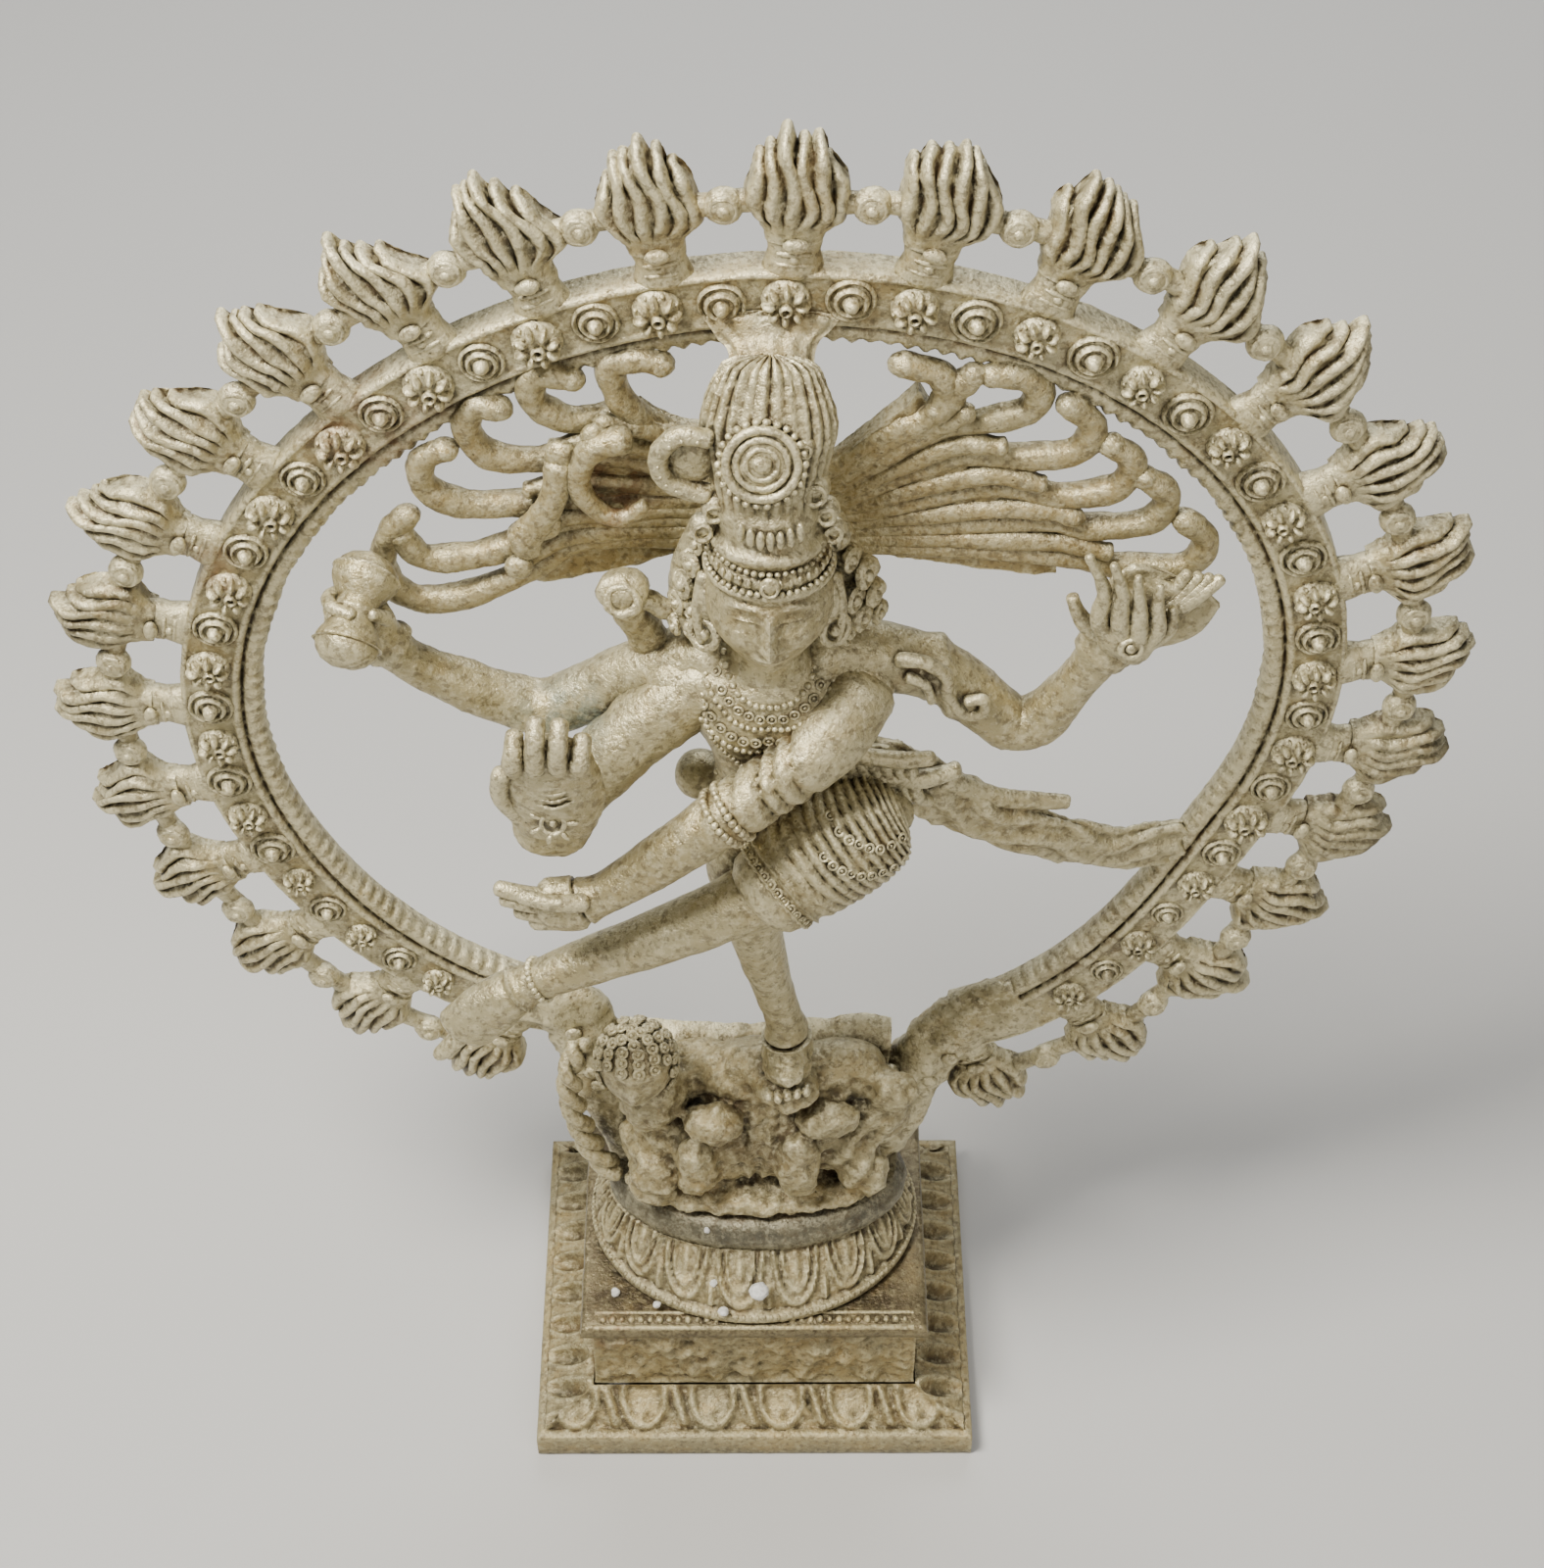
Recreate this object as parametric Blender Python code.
"""Cast brass dancing figure inside a ring of flames, on a stepped rectangular pedestal.

The pedestal is a hollow casting in four courses. The figure, the dwarf under its foot and
the flame ring stand on an oval seat plate, which a stud, a washer and a nut hold down.
Nothing moves. X is to the viewer's right, -Y is the front, +Z is up, in metres, and the
origin is at the middle of the pedestal's underside.
"""
from math import cos, pi, radians, sin, sqrt

import bmesh
import bpy
from mathutils import Matrix, Vector

MM = 0.001
GAP = 0.3 * MM

# Pedestal courses, from the ground up: full widths (X), depths (Y) and heights.
SLAB_WIDTH = 90 * MM
SLAB_DEPTH = 74 * MM
SLAB_HEIGHT = 6.8 * MM
PETAL_SLOPE_RISE = 5.8 * MM
NECK_WIDTH = 66 * MM
NECK_DEPTH = 55 * MM
NECK_HEIGHT = 19.4 * MM
CAP_WIDTH = 70 * MM
CAP_DEPTH = 57.6 * MM
CAP_HEIGHT = 3.8 * MM
CAP_CHAMFER = 1.0 * MM
PEDESTAL_WALL = 3.5 * MM

# Oval lotus and the seat plate on it.
LOTUS_WIDTH = 67 * MM
LOTUS_DEPTH = 55.2 * MM
LOTUS_RIM_HEIGHT = 2.4 * MM
LOTUS_HEIGHT = 11.2 * MM
SEAT_WIDTH = 60.4 * MM
SEAT_DEPTH = 35 * MM
SEAT_HEIGHT = 6.6 * MM
SEAT_X = 0.8 * MM
OVAL_SIDES = 32

# Hidden fixing between the two castings.
STUD_RADIUS = 2.0 * MM
STUD_BITE = 4.0 * MM
STUD_TAIL = 2.5 * MM
WASHER_RADIUS = 6.0 * MM
WASHER_THICKNESS = 1.2 * MM
NUT_RADIUS = 4.2 * MM
NUT_HEIGHT = 3.4 * MM

# Flame ring: an oval that leans a little to the right.
RING_LONG_RADIUS = 95.1 * MM
RING_SHORT_RADIUS = 88.1 * MM
RING_LONG_AXIS = radians(66)
RING_CENTRE_X = 1.3 * MM
RING_LOW_POINT = 37.5 * MM
RING_FACE_Y = 7.5 * MM
RING_THICKNESS = 5.6 * MM
BAND_OUTSIDE = 5.0 * MM
BAND_INSIDE = 4.9 * MM
FLANGE_INSIDE = 8.5 * MM
FLANGE_STEP = 1.2 * MM
RING_END = radians(157)
DROOP_START = radians(108)
DROOP_RIGHT = 14 * MM
DROOP_LEFT = 5 * MM
BAND_STEPS = 54
FLAMES_EACH_SIDE = 13
FLAME_PITCH = radians(11.65)
FIRST_FLAME = radians(3)
END_SPREAD = radians(0.2)
SPREAD_FROM = 9
FLAME_ROOT = radians(2)
FLAME_HEIGHT = 20.5 * MM
FLAME_THICKNESS = 4.2 * MM
FLAME_Y = 10.5 * MM

# Stack of heights.
SLOPE_TOP = SLAB_HEIGHT + PETAL_SLOPE_RISE
NECK_TOP = SLOPE_TOP + NECK_HEIGHT
CAP_TOP = NECK_TOP + CAP_HEIGHT
LOTUS_TOP = CAP_TOP + LOTUS_HEIGHT
SEAT_TOP = LOTUS_TOP + SEAT_HEIGHT
RING_CENTRE_Z = SEAT_TOP + RING_LOW_POINT + RING_SHORT_RADIUS

FIGURE_DETAIL = 3
LIMB_SIDES = 10

BRASS = (0.34, 0.29, 0.19)
PALE_BRASS = (0.42, 0.38, 0.29)
GOLDEN_BRASS = (0.40, 0.31, 0.14)
DARK_BRASS = (0.10, 0.10, 0.09)
STEEL = (0.35, 0.36, 0.37)

PART_NAME = "nataraja_statue"


def fresh_collections():
    """Empty the scene and make the part's and the cutters' collections."""
    for item in list(bpy.data.objects):
        bpy.data.objects.remove(item)
    part = bpy.data.collections.new(PART_NAME)
    cutters = bpy.data.collections.new("cutters")
    for collection in (part, cutters):
        bpy.context.scene.collection.children.link(collection)
    return part, cutters


PART, CUTTERS = fresh_collections()


def metal(name, colour, roughness, metallic=1.0):
    """One cast-metal material."""
    material = bpy.data.materials.new(name)
    material.use_nodes = True
    shader = material.node_tree.nodes["Principled BSDF"]
    shader.inputs["Base Color"].default_value = (*colour, 1)
    shader.inputs["Roughness"].default_value = roughness
    shader.inputs["Metallic"].default_value = metallic
    return material


MATERIALS = {
    "pedestal_brass": metal("pedestal_brass", BRASS, 0.5),
    "figure_brass": metal("figure_brass", PALE_BRASS, 0.55),
    "ring_brass": metal("ring_brass", PALE_BRASS, 0.6),
    "hair_brass": metal("hair_brass", GOLDEN_BRASS, 0.5),
    "plate_brass": metal("plate_brass", DARK_BRASS, 0.45),
    "fixing_steel": metal("fixing_steel", STEEL, 0.4),
}


def add_piece(name, mesh_builder, material, smooth=True):
    """Turn a bmesh into a named piece of the part."""
    bmesh.ops.recalc_face_normals(mesh_builder, faces=mesh_builder.faces)
    mesh = bpy.data.meshes.new(name)
    mesh_builder.to_mesh(mesh)
    mesh_builder.free()
    piece = bpy.data.objects.new(name, mesh)
    PART.objects.link(piece)
    piece.data.materials.append(MATERIALS[material])
    if smooth:
        mesh.shade_smooth()
        mesh.set_sharp_from_angle(angle=radians(35))
    return piece


def above_seat(x, y, height):
    """A place given in millimetres, its height measured from the top of the seat plate."""
    return Vector((x * MM, y * MM, SEAT_TOP + height * MM))


# ---------------------------------------------------------------- shape tools


def bridge(builder, rings, closed=False):
    """Join rings of vertices in order; the ends are capped unless the chain is closed."""
    count = len(rings[0])
    last = len(rings) if closed else len(rings) - 1
    for row in range(last):
        lower, upper = rings[row], rings[(row + 1) % len(rings)]
        for k in range(count):
            side = (k + 1) % count
            builder.faces.new((lower[k], lower[side], upper[side], upper[k]))
    if not closed:
        builder.faces.new(rings[0])
        builder.faces.new(rings[-1])


def square_frame(name, sections, material):
    """A rectangular frame, open through the middle, from a closed chain of sections."""
    builder = bmesh.new()
    rings = []
    for width, depth, height in sections:
        corners = ((-1, -1), (1, -1), (1, 1), (-1, 1))
        rings.append([builder.verts.new((sx * width / 2, sy * depth / 2, height)) for sx, sy in corners])
    bridge(builder, rings, closed=True)
    return add_piece(name, builder, material, smooth=False)


def oval_stack(name, sections, material, x_centre=0.0):
    """A solid of stacked ovals, each given as width, depth and height."""
    builder = bmesh.new()
    rings = []
    for width, depth, height in sections:
        ring = []
        for k in range(OVAL_SIDES):
            turn = 2 * pi * k / OVAL_SIDES
            ring.append(builder.verts.new((x_centre + width / 2 * cos(turn), depth / 2 * sin(turn), height)))
        rings.append(ring)
    bridge(builder, rings)
    return add_piece(name, builder, material)


def cylinder(builder, radius, bottom, top, sides):
    """A capped cylinder on the stud's axis."""
    place = Matrix.Translation((SEAT_X, 0, (bottom + top) / 2))
    bmesh.ops.create_cone(builder, cap_ends=True, segments=sides, radius1=radius, radius2=radius,
                          depth=top - bottom, matrix=place)


def hide_cutter(cutter):
    """Keep a cutter out of the part."""
    cutter.hide_render = True
    cutter.display_type = 'WIRE'
    CUTTERS.objects.link(cutter)


def subtract(piece, cutter):
    """Cut one object away from a piece."""
    cut = piece.modifiers.new("fit to " + cutter.name, 'BOOLEAN')
    cut.operation = 'DIFFERENCE'
    cut.solver = 'EXACT'
    cut.object = cutter


def drill(piece, bottom, top):
    """A hole for the stud through a piece, from one height to another."""
    builder = bmesh.new()
    cylinder(builder, STUD_RADIUS + GAP, bottom, top, 20)
    mesh = bpy.data.meshes.new(piece.name + "_hole")
    builder.to_mesh(mesh)
    builder.free()
    cutter = bpy.data.objects.new(mesh.name, mesh)
    hide_cutter(cutter)
    subtract(piece, cutter)


def fit_against(piece, *neighbours):
    """Trim a piece so that it stops one gap short of each neighbour's full shape."""
    for neighbour in neighbours:
        mesh = neighbour.data.copy()
        builder = bmesh.new()
        builder.from_mesh(mesh)
        builder.normal_update()
        for vertex in builder.verts:
            vertex.co += vertex.normal * GAP * 1.2
        builder.to_mesh(mesh)
        builder.free()
        cutter = bpy.data.objects.new(f"{piece.name}_off_{neighbour.name}", mesh)
        hide_cutter(cutter)
        subtract(piece, cutter)


def spline(values, steps):
    """Points on a smooth curve through the given values, which are tuples of numbers."""
    points = [Vector(value) for value in values]
    result = []
    for span in range(len(points) - 1):
        before = points[max(span - 1, 0)]
        start, end = points[span], points[span + 1]
        after = points[min(span + 2, len(points) - 1)]
        for step in range(steps):
            t = step / steps
            result.append(0.5 * ((2 * start) + (end - before) * t
                                 + (2 * before - 5 * start + 4 * end - after) * t * t
                                 + (3 * start - before - 3 * end + after) * t * t * t))
    result.append(points[-1])
    return result


def swept_body(name, stations, material, sides=LIMB_SIDES, steps=FIGURE_DETAIL, up=(0, 1, 0)):
    """A smooth body along a path.

    Each station is x, y, height, half-width, half-depth in millimetres. The width is
    measured across the path and square to the up direction, the depth along it.
    """
    path = spline([station[:3] for station in stations], steps)
    sizes = spline([(station[3], station[4], 0) for station in stations], steps)
    builder = bmesh.new()
    rings = []
    for k, point in enumerate(path):
        ahead = path[min(k + 1, len(path) - 1)] - path[max(k - 1, 0)]
        ahead.normalize()
        across = ahead.cross(Vector(up)).normalized()
        back = across.cross(ahead).normalized()
        ring = []
        for j in range(sides):
            turn = 2 * pi * j / sides
            spot = point + across * sizes[k].x * cos(turn) + back * sizes[k].y * sin(turn)
            ring.append(builder.verts.new(above_seat(*spot)))
        rings.append(ring)
    bridge(builder, rings)
    return add_piece(name, builder, material)


def ellipsoid(name, centre, radii, material, segments=14, rings=9):
    """An egg shape; the centre and the radii are in millimetres."""
    builder = bmesh.new()
    place = Matrix.Translation(above_seat(*centre)) @ Matrix.Diagonal((*[r * MM for r in radii], 1))
    bmesh.ops.create_uvsphere(builder, u_segments=segments, v_segments=rings, radius=1, matrix=place)
    return add_piece(name, builder, material)


def flat_piece(name, outline, thickness, y_centre, material):
    """An upright plate from an outline of X and Z places in metres."""
    curve = bpy.data.curves.new(name, 'CURVE')
    curve.dimensions = '2D'
    curve.fill_mode = 'BOTH'
    curve.extrude = thickness / 2
    edge = curve.splines.new('POLY')
    edge.points.add(len(outline) - 1)
    for point, (x, z) in zip(edge.points, outline):
        point.co = (x, z, 0, 1)
    edge.use_cyclic_u = True
    flat = bpy.data.objects.new(name + "_outline", curve)
    bpy.context.scene.collection.objects.link(flat)
    bpy.context.view_layer.update()
    mesh = bpy.data.meshes.new_from_object(flat.evaluated_get(bpy.context.evaluated_depsgraph_get()))
    bpy.data.objects.remove(flat)
    builder = bmesh.new()
    builder.from_mesh(mesh)
    bmesh.ops.remove_doubles(builder, verts=builder.verts, dist=0.00001)
    upright = Matrix.Translation((0, y_centre, 0)) @ Matrix.Rotation(pi / 2, 4, 'X')
    builder.transform(upright)
    return add_piece(name, builder, material, smooth=False)


# ---------------------------------------------------------------- pedestal


def make_pedestal():
    """Slab with petal slope, neck, cap and lotus, each a course of its own."""
    hollow_width = NECK_WIDTH - 2 * PEDESTAL_WALL
    hollow_depth = NECK_DEPTH - 2 * PEDESTAL_WALL
    wide_width = SLAB_WIDTH - 2 * PEDESTAL_WALL
    wide_depth = SLAB_DEPTH - 2 * PEDESTAL_WALL
    square_frame("plinth_slab", [
        (SLAB_WIDTH, SLAB_DEPTH, 0),
        (SLAB_WIDTH, SLAB_DEPTH, SLAB_HEIGHT),
        (NECK_WIDTH, NECK_DEPTH, SLOPE_TOP),
        (hollow_width, hollow_depth, SLOPE_TOP),
        (wide_width, wide_depth, SLAB_HEIGHT - PEDESTAL_WALL / 2),
        (wide_width, wide_depth, 0),
    ], "pedestal_brass")
    square_frame("plinth_neck", [
        (NECK_WIDTH, NECK_DEPTH, SLOPE_TOP + GAP),
        (NECK_WIDTH, NECK_DEPTH, NECK_TOP),
        (hollow_width, hollow_depth, NECK_TOP),
        (hollow_width, hollow_depth, SLOPE_TOP + GAP),
    ], "pedestal_brass")
    builder = bmesh.new()
    rings = []
    for inset, height in ((0, NECK_TOP + GAP), (0, CAP_TOP - CAP_CHAMFER), (CAP_CHAMFER, CAP_TOP)):
        x, y = CAP_WIDTH / 2 - inset, CAP_DEPTH / 2 - inset
        rings.append([builder.verts.new((sx * x, sy * y, height)) for sx, sy in ((-1, -1), (1, -1), (1, 1), (-1, 1))])
    bridge(builder, rings)
    cap = add_piece("plinth_cap", builder, "pedestal_brass", smooth=False)
    drill(cap, NECK_TOP - CAP_HEIGHT, CAP_TOP + CAP_HEIGHT)
    lotus = oval_stack("lotus_seat", [
        (LOTUS_WIDTH, LOTUS_DEPTH, CAP_TOP + GAP),
        (LOTUS_WIDTH, LOTUS_DEPTH, CAP_TOP + LOTUS_RIM_HEIGHT),
        (SEAT_WIDTH - 2 * MM, SEAT_DEPTH - 1.5 * MM, LOTUS_TOP),
    ], "pedestal_brass")
    drill(lotus, CAP_TOP - CAP_HEIGHT, LOTUS_TOP + SEAT_HEIGHT)


def make_seat_plate():
    """The oval plate that carries the figure and the ring."""
    plate = oval_stack("seat_plate", [
        (SEAT_WIDTH - 3 * MM, SEAT_DEPTH - 3 * MM, LOTUS_TOP + GAP),
        (SEAT_WIDTH, SEAT_DEPTH, LOTUS_TOP + SEAT_HEIGHT * 0.45),
        (SEAT_WIDTH, SEAT_DEPTH, SEAT_TOP - 0.8 * MM),
        (SEAT_WIDTH - 1.6 * MM, SEAT_DEPTH - 1.6 * MM, SEAT_TOP),
    ], "plate_brass", SEAT_X)
    drill(plate, LOTUS_TOP - SEAT_HEIGHT, LOTUS_TOP + STUD_BITE + GAP)
    return plate


def make_fixing():
    """Stud, washer and nut inside the hollow pedestal."""
    washer_top = NECK_TOP
    nut_top = washer_top - WASHER_THICKNESS - GAP
    nut_bottom = nut_top - NUT_HEIGHT
    builder = bmesh.new()
    cylinder(builder, STUD_RADIUS, nut_bottom - STUD_TAIL, LOTUS_TOP + STUD_BITE, 20)
    add_piece("fixing_stud", builder, "fixing_steel")
    for name, radius, top, height, sides in (
            ("fixing_washer", WASHER_RADIUS, washer_top, WASHER_THICKNESS, 24),
            ("fixing_nut", NUT_RADIUS, nut_top, NUT_HEIGHT, 6)):
        builder = bmesh.new()
        cylinder(builder, radius, top - height, top, sides)
        piece = add_piece(name, builder, "fixing_steel", smooth=False)
        drill(piece, top - height * 2, top + height)


# ---------------------------------------------------------------- flame ring


def ring_radius(angle):
    """Distance from the ring's centre to the band's middle line, at an angle from the top.

    An oval, drawn out downwards over the last stretch towards each foot.
    """
    turn = angle - RING_LONG_AXIS
    oval = 1 / sqrt((cos(turn) / RING_LONG_RADIUS) ** 2 + (sin(turn) / RING_SHORT_RADIUS) ** 2)
    share = min(max((abs(angle) - DROOP_START) / (RING_END - DROOP_START), 0), 1)
    droop = DROOP_RIGHT if angle > 0 else DROOP_LEFT
    return oval + droop * share * share * (3 - 2 * share)


def ring_spot(angle, offset):
    """X and Z of a place that far outside the band's middle line."""
    reach = ring_radius(angle) + offset
    return RING_CENTRE_X + reach * sin(angle), RING_CENTRE_Z + reach * cos(angle)


def make_band():
    """The flat band with its set-back inner flange, open at the bottom."""
    back = RING_FACE_Y + RING_THICKNESS
    step = RING_FACE_Y + FLANGE_STEP
    profile = [(BAND_OUTSIDE, RING_FACE_Y), (BAND_OUTSIDE, back), (-FLANGE_INSIDE, back),
               (-FLANGE_INSIDE, step), (-BAND_INSIDE, step), (-BAND_INSIDE, RING_FACE_Y)]
    builder = bmesh.new()
    rings = []
    for k in range(BAND_STEPS + 1):
        angle = RING_END * (2 * k / BAND_STEPS - 1)
        ring = []
        for offset, y in profile:
            x, z = ring_spot(angle, offset)
            ring.append(builder.verts.new((x, y, z)))
        rings.append(ring)
    bridge(builder, rings)
    return add_piece("arch_band", builder, "ring_brass")


def flame_angle(k):
    """Angle of a flame; the lowest ones on each side stand a little further apart."""
    step = k - FLAMES_EACH_SIDE
    spread = END_SPREAD * max(abs(step) - SPREAD_FROM, 0) ** 2
    return FIRST_FLAME + FLAME_PITCH * step + (spread if step > 0 else -spread)


def flame_reach(angle):
    """Distance from the ring's centre to a flame's root, clear of the band on both sides."""
    widest = max(ring_radius(angle + turn) for turn in (-FLAME_ROOT, 0, FLAME_ROOT))
    return widest + BAND_OUTSIDE + GAP


def half_flame(angle, next_angle):
    """Half of a flame from root to tip, with an arm that meets the next flame's arm halfway."""
    half_pitch = abs(next_angle - angle) / 2

    def arm_end(height):
        if half_pitch == 0:
            return 6.9 * MM, height
        meeting = (flame_reach(angle) + flame_reach(next_angle)) / 2 + height
        return meeting * sin(half_pitch) - GAP / 2, meeting * cos(half_pitch) - flame_reach(angle)

    arm_low, arm_high = 7.8 * MM, 11.8 * MM
    crown = FLAME_HEIGHT
    return [
        (3.2 * MM, 0), (2.8 * MM, 2.2 * MM), (4.6 * MM, 4.6 * MM), (6.8 * MM, arm_low),
        arm_end(arm_low), arm_end(arm_high),
        (7.8 * MM, arm_high + 0.6 * MM), (7.2 * MM, crown * 0.76), (5.4 * MM, crown * 0.90),
        (3.8 * MM, crown * 0.84), (1.6 * MM, crown),
    ]


def make_flames():
    """One flame for each step round the ring, linked by its arms to the next."""
    flames = []
    last = 2 * FLAMES_EACH_SIDE
    for k in range(last + 1):
        angle = flame_angle(k)
        right_half = half_flame(angle, flame_angle(k + 1) if k < last else angle)
        left_half = half_flame(angle, flame_angle(k - 1) if k > 0 else angle)
        turned = []
        for across, height in right_half + [(-x, y) for x, y in reversed(left_half)]:
            reach = flame_reach(angle) + height
            turned.append((RING_CENTRE_X + reach * sin(angle) + across * cos(angle),
                           RING_CENTRE_Z + reach * cos(angle) - across * sin(angle)))
        flames.append(flat_piece(f"flame_{k + 1:02d}", turned, FLAME_THICKNESS, FLAME_Y, "ring_brass"))
    return flames


def foot_stations(side, waist_x, seat_x):
    """Path of one ring foot, from the band's end down to the seat plate."""
    x, z = ring_spot(side * (RING_END + radians(1.5)), -1.5 * MM)
    start = (x / MM, 10.6, (z - SEAT_TOP) / MM)
    return [
        (*start, 6.0, 3.4),
        (waist_x, 8.6, 0.66 * start[2], 6.4, 4.6),
        (0.5 * (waist_x + seat_x), 6.0, 0.36 * start[2], 6.2, 5.6),
        (seat_x, 5.0, 0.4, 6.0, 5.0),
    ]


def make_feet(band, plate, flames):
    """Two feet that bring the band's ends down, and the web between them."""
    left = swept_body("arch_foot_left", foot_stations(-1, -31.5, -22.5), "ring_brass", sides=8)
    right = swept_body("arch_foot_right", foot_stations(1, 32.5, 23.5), "ring_brass", sides=8)
    fit_against(left, band, plate, flames[0])
    fit_against(right, band, plate, flames[-1])
    outline = [above_seat(x, 0, h) for x, h in ((-22, 0.4), (22, 0.4), (29, 20), (30, 38), (22, 37),
                                                 (10, 33), (-2, 31.5), (-14, 33), (-24, 37), (-28, 22))]
    web = flat_piece("arch_web", [(spot.x, spot.z) for spot in outline], 4.4 * MM, 8.4 * MM, "ring_brass")
    fit_against(web, left, right)
    return left, right, web


# ---------------------------------------------------------------- dwarf under the foot


def make_dwarf(plate, left_foot, right_foot, web):
    """Body, curly head and the braid at its side."""
    body = swept_body("dwarf_body", [
        (-19, -4, 20, 13, 5), (-13, -5, 20, 17, 7.5), (-3, -5, 19.2, 18.6, 9.2), (8, -5, 19.4, 18.8, 9.6),
        (18, -4, 18, 17.4, 8.6), (25, -3.5, 15, 13, 6.5),
    ], "figure_brass", sides=14)
    fit_against(body, plate, left_foot, right_foot, web)
    head = ellipsoid("dwarf_head", (-22.2, -7, 44.6), (7.6, 7.2, 8.4), "figure_brass")
    fit_against(head, body, left_foot)
    braid = swept_body("dwarf_braid", [
        (-35, -1.5, 38, 2.2, 2.2), (-35, -1.8, 28, 2.4, 2.4), (-33.4, -2, 18, 2.6, 2.6),
        (-31.4, -2, 9, 2.8, 2.8), (-28, -2, 1.6, 2.4, 2.4),
    ], "figure_brass", sides=8)
    fit_against(braid, plate, left_foot, body, head)
    return body, head


# ---------------------------------------------------------------- dancing figure


def make_trunk():
    """Trunk with the neck, then the head."""
    torso = swept_body("torso", [
        (4.2, -1, 102, 9, 7), (4.5, -1, 110, 12.6, 9.4), (2.4, -2, 118, 9.8, 8.2), (1.8, -2, 125, 8.2, 7.2),
        (2.4, -2, 134, 11.8, 8.2), (2.8, -1.5, 142, 15.5, 8.2), (3, -1, 148, 13.5, 7), (3, -2.4, 153, 6.4, 5.8),
        (2.8, -4.2, 159, 5.2, 5.2),
    ], "figure_brass", sides=16)
    head = ellipsoid("head", (2.8, -5.4, 168), (11.2, 11.4, 13.6), "figure_brass", 18, 12)
    fit_against(head, torso)
    return torso, head


def make_crown(head, band):
    """Tall bound hair above the head, and the bracket that ties it to the ring."""
    crown = swept_body("crown", [
        (2.8, -5, 176, 10.2, 10), (2.8, -4.4, 182, 8.4, 8), (2.6, -3, 189, 8, 6.4), (2.6, -1.4, 196, 9.8, 5),
        (2.8, 0.6, 202, 7.6, 3.8), (3, 1.6, 204, 5.6, 3),
    ], "figure_brass", sides=14)
    fit_against(crown, head)
    ring_x, ring_z = ring_spot(radians(1.2), -BAND_INSIDE)
    ring_height = (ring_z - SEAT_TOP) / MM
    bracket = swept_body("crown_bracket", [
        (3, 1.6, 201, 5, 2.8), (3, 4.4, 0.5 * (203 + ring_height), 5.6, 3),
        (ring_x / MM, 8, ring_height, 7.6, 3.6),
    ], "ring_brass", sides=10)
    fit_against(bracket, crown, band)
    return crown, bracket


def fan_outline(points):
    """Outline of a hair fan in metres from places in millimetres above the seat."""
    spots = [above_seat(x, 0, height) for x, height in points]
    return [(spot.x, spot.z) for spot in spots]


def make_hair_fans(torso, head, crown, band):
    """Flying locks on each side of the head; the tips curl up towards the ring."""
    left = [(-6, 166), (-12, 161.5), (-18.5, 163.5), (-26, 164), (-34.5, 160), (-43, 153), (-51.5, 149),
            (-58, 151), (-61, 156), (-61, 160), (-50, 158.5), (-46, 161), (-59.5, 165), (-59, 169.5),
            (-45, 168), (-43, 172), (-53, 178.5), (-50.5, 183), (-40.5, 177), (-38.5, 181), (-45.5, 190),
            (-41.5, 194), (-35, 186), (-31.5, 188), (-35, 197.5), (-29.5, 199), (-27.5, 190), (-23.5, 190.5),
            (-23.6, 200), (-16, 200.5), (-17.5, 190), (-14, 184), (-6, 178)]
    right = [(12, 178), (17, 186), (20.5, 191), (24, 196.5), (22.5, 201), (33.5, 198.5), (31, 193.5),
             (35.5, 189.5), (41, 195), (44.5, 194), (39.5, 187), (42.5, 183), (50.5, 189.5), (53.5, 186),
             (46, 178.5), (48.5, 174.5), (57, 184), (60.5, 180), (59, 175), (50.5, 170), (52, 166), (61, 176.5),
             (66, 173), (67, 165.5), (56, 164.5), (57, 161), (68, 168.5), (73, 165), (73, 156.5), (65.5, 158.5),
             (54, 155.5), (45.5, 160.5), (35, 163), (28, 162.5), (21, 160.5), (12, 166)]
    fans = []
    for name, outline in (("hair_fan_left", left), ("hair_fan_right", right)):
        fan = flat_piece(name, fan_outline(outline), 3.6 * MM, 9 * MM, "hair_brass")
        fit_against(fan, torso, head, crown, band)
        fans.append(fan)
    return fans


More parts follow.
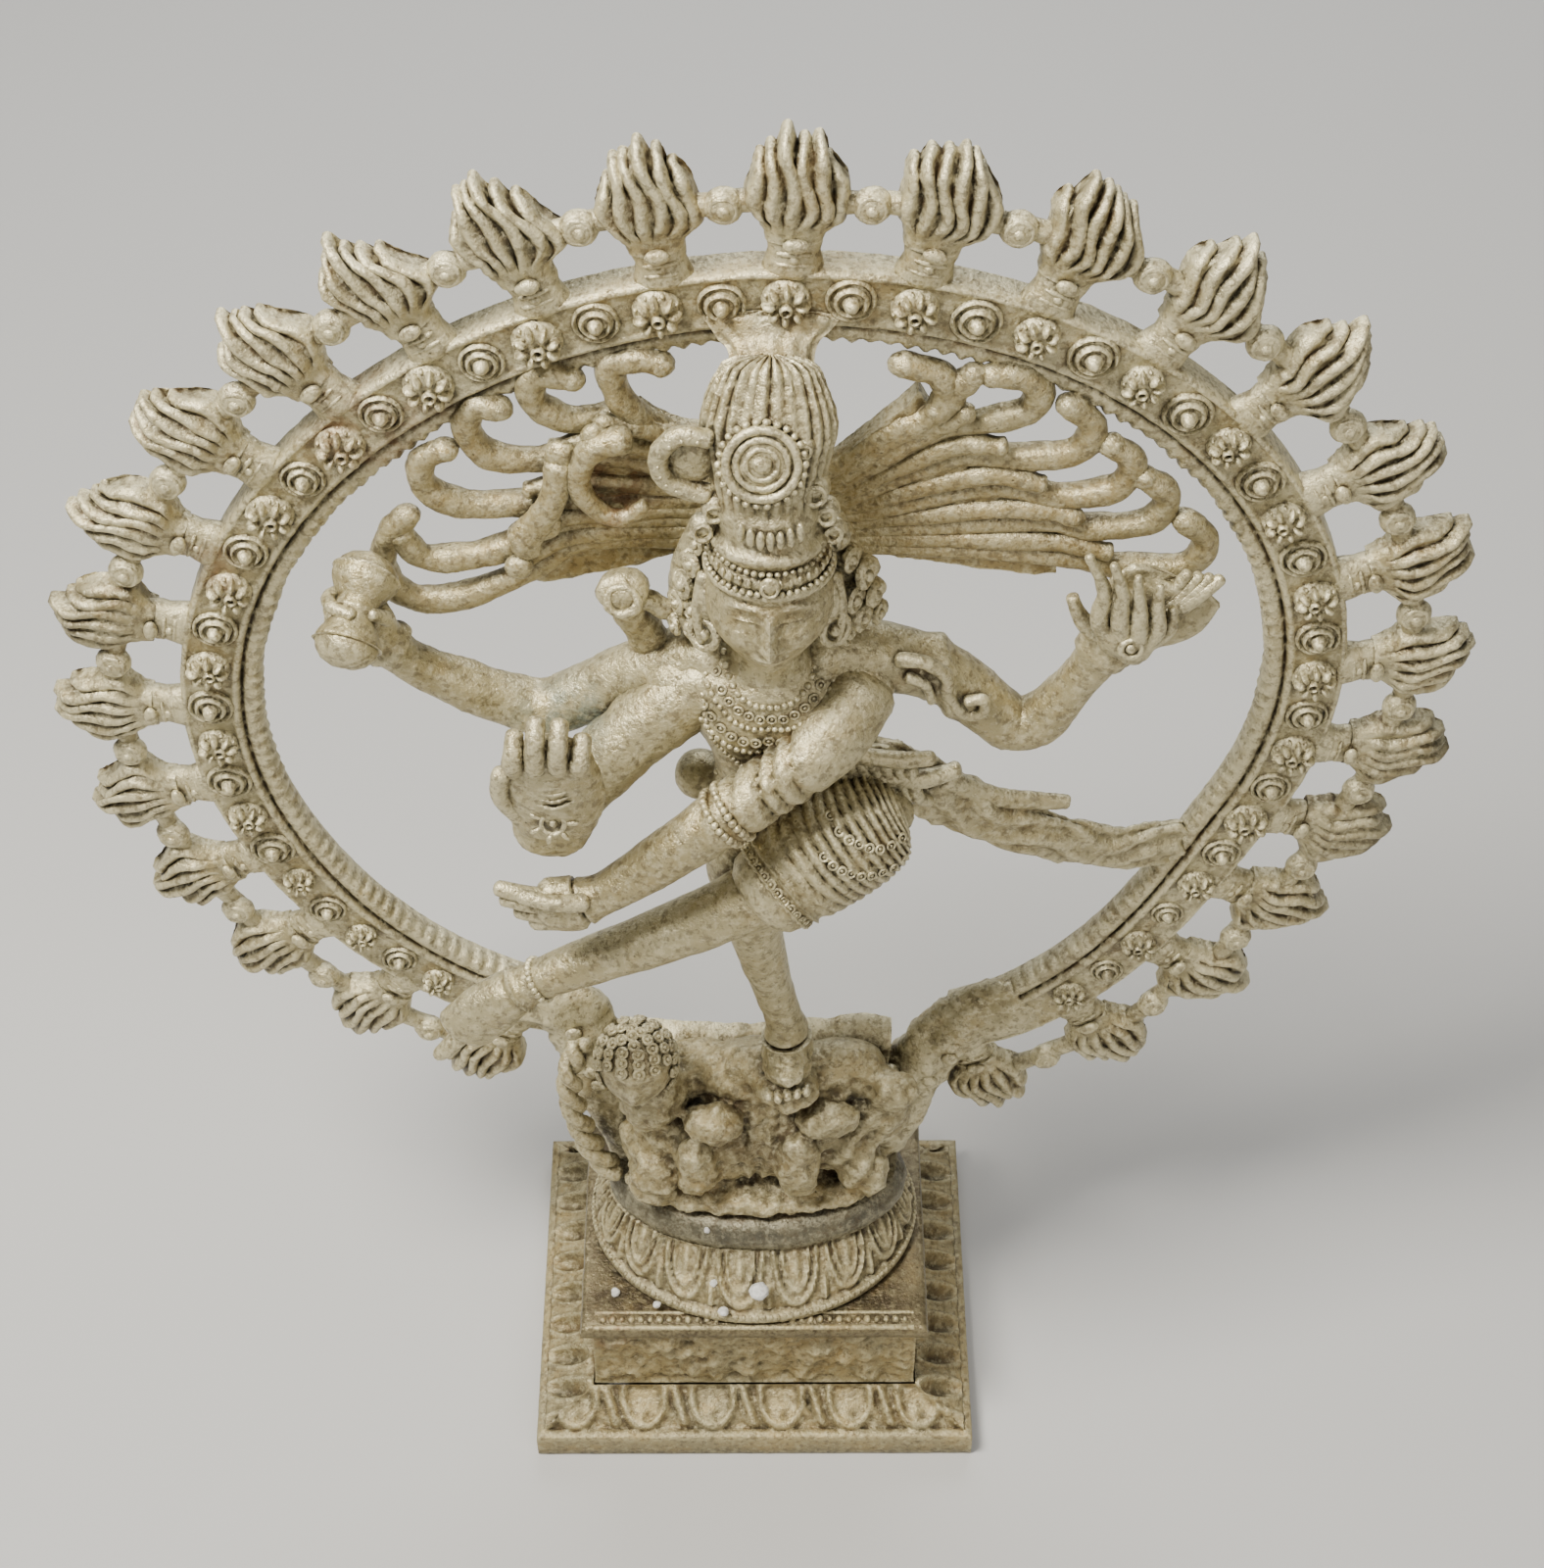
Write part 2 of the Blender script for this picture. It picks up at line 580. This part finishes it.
def make_rear_arms(torso, fans):
    """Raised arms with the drum and the palm flame, and the knob behind the right shoulder."""
    right = swept_body("rear_arm_right", [
        (-7, 1, 146, 7.4, 6.2), (-19, 2.4, 139.5, 6.6, 5.6), (-36, 3, 132, 4.8, 4.6), (-48, 2.6, 138, 4.2, 4.2),
        (-58, 2, 146, 3.6, 3.6), (-62.4, 1, 155, 4.6, 3.6), (-62.8, 0.4, 162, 3.8, 3),
    ], "figure_brass")
    fit_against(right, torso)
    drum = swept_body("hand_drum", [
        (-61.8, 1.5, 162.5, 5, 5), (-63, -2.5, 160.5, 3.6, 3.6), (-64.2, -7, 157.5, 5.4, 5.4),
    ], "figure_brass", up=(1, 0, 0))
    fit_against(drum, right)
    knob = swept_body("shoulder_knob", [
        (-15, 2.6, 144, 3.4, 3), (-18, 2, 152, 3.2, 3), (-20.8, 0.6, 160, 3.8, 3.6), (-21.4, 0, 164.4, 2.4, 2.4),
    ], "figure_brass", sides=8)
    fit_against(knob, torso, right, fans[0])
    left = swept_body("rear_arm_left", [
        (12, 1, 147, 7.2, 6.2), (24, 2, 144.5, 6, 5.4), (34, 2.6, 138.5, 5.2, 5), (43.5, 2.6, 128.5, 4.6, 4.6),
        (49.5, 2, 131, 4.2, 4.2), (54.8, 1, 142, 3.6, 3.4), (58.5, 0.4, 150, 5, 3), (64.5, 0.6, 157.5, 9.6, 2.8),
        (67.5, 1, 162, 8.6, 2),
    ], "figure_brass")
    fit_against(left, torso)
    flame = swept_body("palm_flame", [
        (62, -4.4, 152.5, 5, 2.2), (60.5, -5, 160, 7, 2.6), (57, -4.8, 167.5, 5.4, 2.2), (53, -4.2, 174, 1.6, 1.2),
    ], "figure_brass", sides=8)
    fit_against(flame, left)
    return right, left


def make_front_arms(torso, rear_right, rear_left, leg, cloth):
    """The raised open hand and the arm swung across the body."""
    right = swept_body("front_arm_right", [
        (-8, -3.5, 143, 6, 5), (-18, -6, 135.5, 6, 5.4), (-28, -8.5, 126, 5.6, 5.4), (-32.6, -11.6, 120.6, 5.2, 5),
        (-33.2, -16.4, 125, 5.6, 4.8), (-32, -20, 135, 6.4, 4.6), (-32, -22.4, 146, 5.6, 3.4), (-32.4, -24, 157.6, 3.4, 2),
    ], "figure_brass")
    fit_against(right, torso, rear_right)
    left = swept_body("front_arm_left", [
        (17, -5, 142, 6.4, 6), (12, -11, 137.6, 6, 5.6), (3, -15.4, 132.6, 5.4, 5.2), (-4, -18.4, 128.6, 5, 4.8),
        (-14, -20, 120.5, 4.6, 4.6), (-25.6, -21, 111, 3.8, 3.6), (-31, -21.4, 109.5, 6.2, 3.6),
        (-38.5, -21.6, 111.5, 4.6, 2.6),
    ], "figure_brass")
    fit_against(left, torso, rear_left, leg, cloth)


def make_legs(torso, dwarf):
    """Standing leg on the dwarf, knee cloth, and the raised leg that comes out of it."""
    standing = swept_body("standing_leg", [
        (-1, -2.5, 109, 7.4, 7.4), (-1.4, -5.5, 96, 7, 7), (0.4, -5.2, 82, 5.6, 5.8), (3, -3.6, 66, 4.7, 4.7),
        (5.8, -1.8, 50, 4, 4.2), (6.8, -2.6, 42, 4.6, 5.4), (7, -5, 37.4, 5, 8.4),
    ], "figure_brass")
    fit_against(standing, torso)
    fit_against(dwarf, standing)
    cloth = swept_body("knee_cloth", [
        (24.6, -6, 115, 5, 5), (20, -7.4, 114, 9.8, 8.2), (12, -11, 110.5, 10.6, 8.8), (3.4, -15.4, 106, 9, 7.6),
    ], "figure_brass", sides=14)
    fit_against(cloth, torso, standing)
    raised = swept_body("raised_leg", [
        (6, -14.4, 107, 7.2, 6.2), (-3, -16.2, 102.6, 6.6, 6), (-15, -17.4, 96.4, 6, 5.8),
        (-30, -18, 88.6, 4.8, 4.8), (-41, -18.4, 82.4, 4.2, 4), (-47, -19, 76.5, 6.4, 3.6),
        (-53.5, -20, 70.5, 5.8, 2.4),
    ], "figure_brass")
    fit_against(raised, cloth, standing)
    return raised, cloth, standing


def make_sash(torso, cloth, band):
    """Flying sash from the left hip; its tip is soldered to the ring."""
    tip_x, tip_z = ring_spot(radians(116), -FLANGE_INSIDE + 1 * MM)
    tip_height = (tip_z - SEAT_TOP) / MM
    sash = swept_body("sash", [
        (14, -1, 123, 7, 3), (27, 0.4, 116.4, 7, 2.6), (38, 1.4, 107, 6.6, 2.4), (51, 3.6, 98, 5.8, 2.2),
        (64, 6.4, 90.5, 5.6, 2.2), (tip_x / MM, 10.4, tip_height, 5, 2.2),
    ], "figure_brass")
    fit_against(sash, torso, cloth, band)


def main():
    make_pedestal()
    plate = make_seat_plate()
    make_fixing()
    band = make_band()
    flames = make_flames()
    left_foot, right_foot, web = make_feet(band, plate, flames)
    dwarf, _ = make_dwarf(plate, left_foot, right_foot, web)
    torso, head = make_trunk()
    crown, _ = make_crown(head, band)
    fans = make_hair_fans(torso, head, crown, band)
    raised, cloth, standing = make_legs(torso, dwarf)
    rear_right, rear_left = make_rear_arms(torso, fans)
    make_front_arms(torso, rear_right, rear_left, raised, cloth)
    make_sash(torso, cloth, band)


main()
